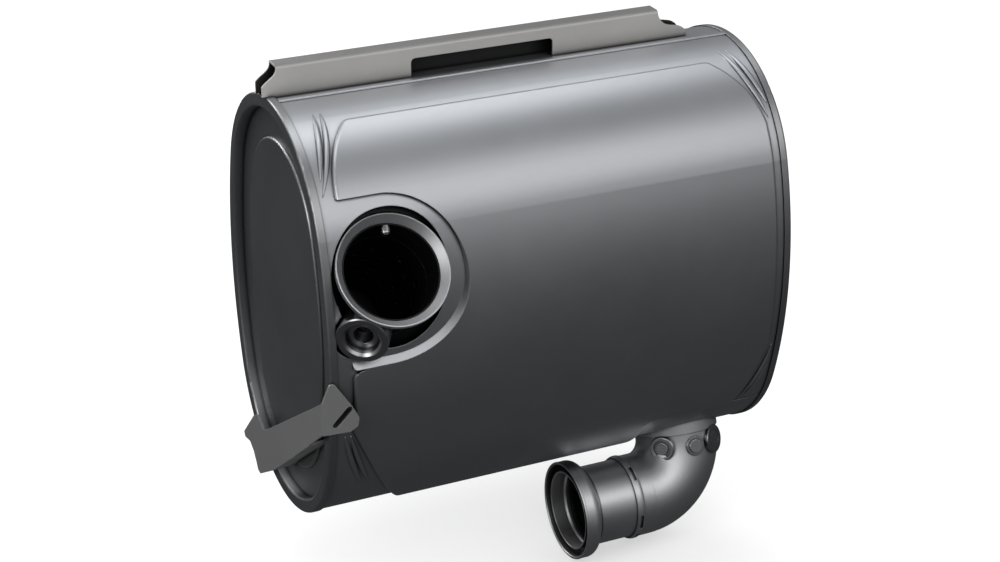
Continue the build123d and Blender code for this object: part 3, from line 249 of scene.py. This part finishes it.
def steel(name, color, rough, metal=1.0, grain=(1.0, 1.0, 1.0), stain=0.12, bump=0.05,
          edge=0.0012, nook_shade_reach=0.03, edge_highlight_gain=0.45, top_shade=1.0, rim_highlight_gain=0.0, mask=None):
    """Satin sheet: drawn grain and cloudy tone, with painted highlights on edges and rims, and painted
    shade in nooks, in creases, on upward faces and where a mask asks for it.
    """
    mat, tree, shader = new_material(name)
    plain = stretched(tree)
    cloud = noise(tree, plain, scale=7.0, detail=5.0, rough=0.6, distortion=0.4)
    fine = noise(tree, stretched(tree, grain), scale=420.0, detail=3.0, rough=0.6)
    specks = noise(tree, plain, scale=900.0, detail=2.0, rough=0.5)
    true_normal = node(tree, "NewGeometry").outputs["Normal"]
    soft_normal = node(tree, "Bevel", {"Radius": edge}, samples=EDGE_SAMPLES).outputs["Normal"]

    # Painted highlight: edges, where the softened normal parts from the true one, are coloured
    # brighter
    alike = node(tree, "VectorMath", {0: soft_normal, 1: true_normal}, operation="DOT_PRODUCT")
    edge_highlight = remap(tree, alike.outputs["Value"], EDGE_HIGHLIGHT_SPAN, 0.0, edge_highlight_gain)
    if rim_highlight_gain:
        extra = mathed(tree, "MULTIPLY", near_rims(tree), rim_highlight_gain / edge_highlight_gain)
        edge_highlight = mathed(tree, "MULTIPLY", edge_highlight, mathed(tree, "ADD", 1.0, extra))
    upward = node(tree, "SeparateXYZ", {"Vector": true_normal}).outputs["Z"]
    # Painted shade: darker in creases and between parts, and darker on faces that look up
    crease_shade = remap(tree, openness(tree, CREASE_REACH), CREASE_SPAN, CREASE_SHADE_TONE, 1.0)
    painted_shade = mathed(tree, "MULTIPLY", crease_shade, remap(tree, upward, UPWARD_SPAN, 1.0, top_shade))
    if mask:
        painted_shade = mathed(tree, "MULTIPLY", painted_shade, mask(tree))

    darker = shaded(color, 1.0 - stain)
    lighter = shaded(color, 1.0 + stain * 0.6)
    bright = tuple(min(1.0, c * EDGE_HIGHLIGHT_GAIN + EDGE_HIGHLIGHT_LIFT) for c in color)
    clouded = mix_color(tree, remap(tree, cloud, NOISE_SPAN), darker, lighter)
    highlighted = mix_color(tree, edge_highlight, clouded, bright)
    # Painted shade: nooks are darkened toward a dark tone of the colour
    unshaded = remap(tree, openness(tree, nook_shade_reach), NOOK_SHADE_SPAN)
    nook_shaded = mix_color(tree, unshaded, shaded(color, NOOK_SHADE_TONE), highlighted)
    final = node(tree, "VectorMath", {0: nook_shaded, "Scale": painted_shade}, operation="SCALE")
    tree.links.new(final.outputs["Vector"], shader.inputs["Base Color"])

    by_cloud = remap(tree, cloud, NOISE_SPAN, -ROUGH_CLOUD, ROUGH_CLOUD)
    by_grain = remap(tree, fine, NOISE_SPAN, rough - ROUGH_GRAIN, rough + ROUGH_GRAIN)
    tree.links.new(mathed(tree, "ADD", by_cloud, by_grain), shader.inputs["Roughness"])
    add_relief(tree, shader, mathed(tree, "ADD", fine, specks), bump, GRAIN_HEIGHT, soft_normal)
    shader.inputs["Metallic"].default_value = metal
    return mat


def fibre(name, color):
    """Pressed fibre mat: matt, mottled, with a short felted nap."""
    mat, tree, shader = new_material(name)
    cloud = noise(tree, stretched(tree), scale=60.0, detail=6.0, rough=0.7)
    lay = stretched(tree, (1.0, 6.0, 6.0))
    hair = noise(tree, lay, scale=500.0, detail=3.0, rough=0.6, distortion=1.0)
    tone = mix_color(tree, remap(tree, cloud, NOISE_SPAN), shaded(color, 0.8), color)
    tree.links.new(tone, shader.inputs["Base Color"])
    tree.links.new(remap(tree, hair, NOISE_SPAN, 0.85, 1.0), shader.inputs["Roughness"])
    add_relief(tree, shader, hair, strength=0.6, distance=0.001)
    return mat


def honeycomb(name, color):
    """Ceramic brick: fine square cells on the faces that look along the can."""
    mat, tree, shader = new_material(name)
    plain = stretched(tree)
    end_on = {"Vector": plain, "Rotation": (0.0, math.radians(90), 0.0)}
    cells = node(tree, "TexBrick", {
        "Vector": node(tree, "Mapping", end_on).outputs["Vector"],
        "Scale": 400.0,
        "Mortar Size": 0.08,
        "Brick Width": 0.5,
        "Row Height": 0.5,
        "Color1": (*shaded(color, 0.35), 1.0),
        "Color2": (*shaded(color, 0.4), 1.0),
        "Mortar": (*color, 1.0),
    }, offset=0.0)
    rough = remap(tree, noise(tree, plain, scale=80.0), NOISE_SPAN, 0.75, 0.95)
    tree.links.new(cells.outputs["Color"], shader.inputs["Base Color"])
    tree.links.new(rough, shader.inputs["Roughness"])
    return mat


ALONG_CAN = (0.5, 1.0, 1.0)    # the rolling grain runs along the can
ACROSS_CAN = (1.0, 0.5, 0.5)
JACKET = steel("jacket_steel", (0.56, 0.57, 0.59), 0.42, grain=ALONG_CAN, stain=0.03, bump=0.02)
# Cap: painted highlight on its edges, strongest on the outermost part of each rim
CAP = steel("cap_steel", (0.45, 0.455, 0.465), 0.40, grain=ACROSS_CAN, stain=0.05, bump=0.03,
            edge_highlight_gain=0.12, rim_highlight_gain=0.75, edge=0.0016)
# Rail: painted shade on its top face and within its channel
RAIL = steel("rail_steel", (0.46, 0.452, 0.44), 0.50, metal=0.5, grain=ALONG_CAN, stain=0.05,
             nook_shade_reach=0.06, top_shade=0.42, mask=inside_channel)
COLLAR = steel("collar_steel", (0.66, 0.665, 0.675), 0.48, stain=0.08, nook_shade_reach=0.012)
BOSS = steel("boss_steel", (0.42, 0.42, 0.43), 0.30, stain=0.08)
PLUG = steel("plug_steel", (0.50, 0.50, 0.51), 0.28, stain=0.06)
BRACKET = steel("bracket_steel", (0.19, 0.19, 0.19), 0.48, metal=0.6, grain=ALONG_CAN, stain=0.05,
                nook_shade_reach=0.02)
ELBOW = steel("elbow_steel", (0.72, 0.72, 0.73), 0.42, stain=0.05)
# Pipe: painted shade deep in its bore
PIPE = steel("pipe_steel", (0.72, 0.72, 0.73), 0.42, grain=ALONG_CAN, stain=0.05,
             mask=outside_bore)
# Inner steel: near-black painted shade for the dark spaces seen through the openings
INNER_SHADE = steel("inner_steel", (0.030, 0.030, 0.031), 0.55, stain=0.15, bump=0.06)
MAT = fibre("fibre_mat", (0.30, 0.29, 0.26))
BRICK = honeycomb("brick_ceramic", (0.66, 0.58, 0.45))

LOOKS = {                      # every other node is inner steel, painted near black as shade, seen only through the openings
    "front_jacket": JACKET,
    "rear_jacket": JACKET,
    "left_end_cap": CAP,
    "right_end_cap": CAP,
    "hanger_rail": RAIL,
    "lower_bracket": BRACKET,
    "inlet_collar": COLLAR,
    "outlet_neck": COLLAR,
    "inlet_probe": PLUG,
    "injector_boss": BOSS,
    "front_sensor_boss": BOSS,
    "side_sensor_boss": BOSS,
    "rear_sensor_boss": BOSS,
    "front_sensor_plug": PLUG,
    "side_sensor_plug": PLUG,
    "rear_sensor_plug": PLUG,
    "outlet_elbow": ELBOW,
    "outlet_socket": ELBOW,
    "outlet_pipe": PIPE,
    "insulation_mat": MAT,
    "upper_support_mat": MAT,
    "lower_support_mat": MAT,
    "upper_catalyst_brick": BRICK,
    "lower_catalyst_brick": BRICK,
}
for node_name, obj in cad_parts.items():
    obj.data.materials.clear()
    obj.data.materials.append(LOOKS.get(node_name, INNER_SHADE))


# Pressed and folded detail on the jacket

def crown_point(x, across, rise):
    """Point that stands `rise` off the crown, `across` from its middle toward the inlet side."""
    angle = across / CROWN_RADIUS
    radius = CROWN_RADIUS + rise
    y = CAN_AXIS_Y - radius * math.sin(angle)
    return Vector((x, y, CAN_AXIS_Z + CROWN_OFFSET + radius * math.cos(angle)))


def side_point(x, height, rise):
    """Point that stands `rise` off the jacket's inlet side, `height` above the can's axis."""
    level = abs(height)
    if level > ARC_CHANGE:
        angle = math.acos((level - CROWN_OFFSET) / CROWN_RADIUS)
        radius = CROWN_RADIUS + rise
        out = radius * math.sin(angle)
        level = CROWN_OFFSET + radius * math.cos(angle)
    else:
        angle = math.asin(level / SIDE_RADIUS)
        radius = SIDE_RADIUS + rise
        out = radius * math.cos(angle) - SIDE_OFFSET
        level = radius * math.sin(angle)
    return Vector((x, CAN_AXIS_Y - out, CAN_AXIS_Z + math.copysign(level, height)))


def lofted_piece(name, rings, smooth=False):
    """Closed piece of the jacket's steel through rings of points, with both ends filled."""
    count = len(rings[0])
    last = (len(rings) - 1) * count
    faces = []
    for start in range(0, last, count):
        for k in range(count):
            a = start + k
            b = start + (k + 1) % count
            faces.append((a, b, b + count, a + count))
    faces.append(tuple(reversed(range(count))))
    faces.append(tuple(range(last, last + count)))
    mesh = bpy.data.meshes.new(name)
    mesh.from_pydata([point for ring in rings for point in ring], [], faces)
    shell = bmesh.new()
    shell.from_mesh(mesh)
    bmesh.ops.recalc_face_normals(shell, faces=shell.faces)
    shell.to_mesh(mesh)
    shell.free()
    if smooth:
        mesh.shade_smooth()
    piece = bpy.data.objects.new(name, mesh)
    bpy.context.scene.collection.objects.link(piece)
    piece.data.materials.append(JACKET)
    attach(piece, "root")


def bead_rings(name, line):
    """Half-round sections along a curve through the line's three points, tapered at both ends."""
    level, side, _, _ = name.split("_")
    marks = []
    for off_rim, off_end in line:
        x = LEFT_RIM_X + off_rim if side == "left" else RIGHT_RIM_X - off_rim
        height = CAN_HALF_HEIGHT - off_end
        marks.append(Vector((x, height if level == "upper" else -height)))
    start, middle, end = marks
    pull = middle * 2 - (start + end) / 2
    rings = []
    for step in range(BEAD_STEPS + 1):
        t = step / BEAD_STEPS
        spot = start * (1 - t) ** 2 + pull * 2 * t * (1 - t) + end * t ** 2
        slope = (pull - start) * 2 * (1 - t) + (end - pull) * 2 * t
        aside = Vector((-slope.y, slope.x)).normalized()
        swell = max(BEAD_TIP, math.sin(math.pi * t)) ** BEAD_FULLNESS
        ring = []
        for k in range(BEAD_ARC + 1):
            turn = math.pi * k / BEAD_ARC
            place = spot + aside * (BEAD_HALF_WIDTH * swell * math.cos(turn))
            rise = (BEAD_HEIGHT * swell + BEAD_SINK) * math.sin(turn) - BEAD_SINK
            ring.append(side_point(place.x, place.y, rise))
        rings.append(ring)
    return rings


seam_ends = (LEFT_RIM_X + SEAM_END, RIGHT_RIM_X - SEAM_END)
lofted_piece("crown_seam", [[crown_point(x, *spot) for spot in SEAM_SECTION] for x in seam_ends])
for bead_name, bead_line in BEAD_LINES.items():
    lofted_piece(bead_name, bead_rings(bead_name, bead_line), smooth=True)


# Floor, lights and camera

def floor_material():
    """Pale, with a light shadow under the object, and darker where the steel mirrors it."""
    mat, tree, shader = new_material("floor_paint")
    shader.inputs["Base Color"].default_value = (0.93, 0.93, 0.93, 1.0)
    shader.inputs["Roughness"].default_value = 0.9
    shader.inputs["Specular IOR Level"].default_value = 0.1
    path = node(tree, "LightPath")
    dark = node(tree, "Emission", {"Color": (0.045, 0.046, 0.048, 1.0), "Strength": 1.0})
    light = node(tree, "Emission", {"Strength": FLOOR_LIGHT})
    pale = node(tree, "MixShader", {
        "Fac": mathed(tree, "MULTIPLY", path.outputs["Is Camera Ray"], FLOOR_LIGHT_SHARE),
        1: shader.outputs["BSDF"],
        2: light.outputs["Emission"],
    })
    mix = node(tree, "MixShader", {
        "Fac": path.outputs["Is Glossy Ray"],
        1: pale.outputs["Shader"],
        2: dark.outputs["Emission"],
    })
    tree.links.new(mix.outputs["Shader"], tree.nodes["Material Output"].inputs["Surface"])
    return mat


def make_floor():
    mesh = bpy.data.meshes.new("floor")
    corners = [(-1, -1), (1, -1), (1, 1), (-1, 1)]
    mesh.from_pydata([(x * FLOOR_HALF_SIZE, y * FLOOR_HALF_SIZE, 0) for x, y in corners], [],
                     [(0, 1, 2, 3)])
    floor = bpy.data.objects.new("floor", mesh)
    floor.location = (0.0, 0.0, FLOOR_Z)
    bpy.context.scene.collection.objects.link(floor)
    floor.data.materials.append(floor_material())


def lamp(name, place, width, height, watts, color=(1.0, 1.0, 1.0)):
    data = bpy.data.lights.new(name, "AREA")
    data.shape = "RECTANGLE"
    data.size = width
    data.size_y = height
    data.energy = watts
    data.color = color
    softbox = bpy.data.objects.new(name, data)
    softbox.location = place
    aim = Vector(LAMP_AIM) - Vector(place)
    softbox.rotation_euler = aim.to_track_quat("-Z", "Y").to_euler()
    bpy.context.scene.collection.objects.link(softbox)


def studio_world():
    """Pale to the camera, and a grey room where the steel mirrors it."""
    world = bpy.data.worlds.new("studio")
    world.use_nodes = True
    tree = world.node_tree
    tree.nodes.clear()
    seen = node(tree, "Background", {"Color": (0.97, 0.97, 0.97, 1.0), "Strength": 1.0})
    mirrored = node(tree, "Background", {"Color": (0.20, 0.205, 0.21, 1.0), "Strength": 1.0})
    mix = node(tree, "MixShader", {
        "Fac": node(tree, "LightPath").outputs["Is Glossy Ray"],
        1: seen.outputs["Background"],
        2: mirrored.outputs["Background"],
    })
    node(tree, "OutputWorld", {"Surface": mix.outputs["Shader"]})
    return world


def make_camera():
    data = bpy.data.cameras.new("camera")
    data.lens = FOCAL_MM
    data.sensor_width = SENSOR_MM
    data.sensor_fit = "HORIZONTAL"
    data.clip_end = CAMERA_REACH
    camera = bpy.data.objects.new("camera", data)
    camera.location = CAMERA_PLACE
    camera.rotation_euler = CAMERA_TURN
    bpy.context.scene.collection.objects.link(camera)
    return camera


make_floor()
lamp("top_softbox", (0.0, 0.35, 2.1), width=3.2, height=1.1, watts=21.0, color=(0.96, 0.98, 1.0))
lamp("front_softbox", (0.4, -2.3, 1.2), width=3.8, height=1.5, watts=20.0)
lamp("left_softbox", (-2.7, -1.4, 1.0), width=1.2, height=1.6, watts=26.0)
lamp("back_softbox", (-0.9, 2.8, 1.3), width=2.6, height=1.2, watts=50.0)
bpy.context.scene.world = studio_world()
bpy.context.scene.camera = make_camera()
bpy.context.scene.view_settings.view_transform = "Standard"
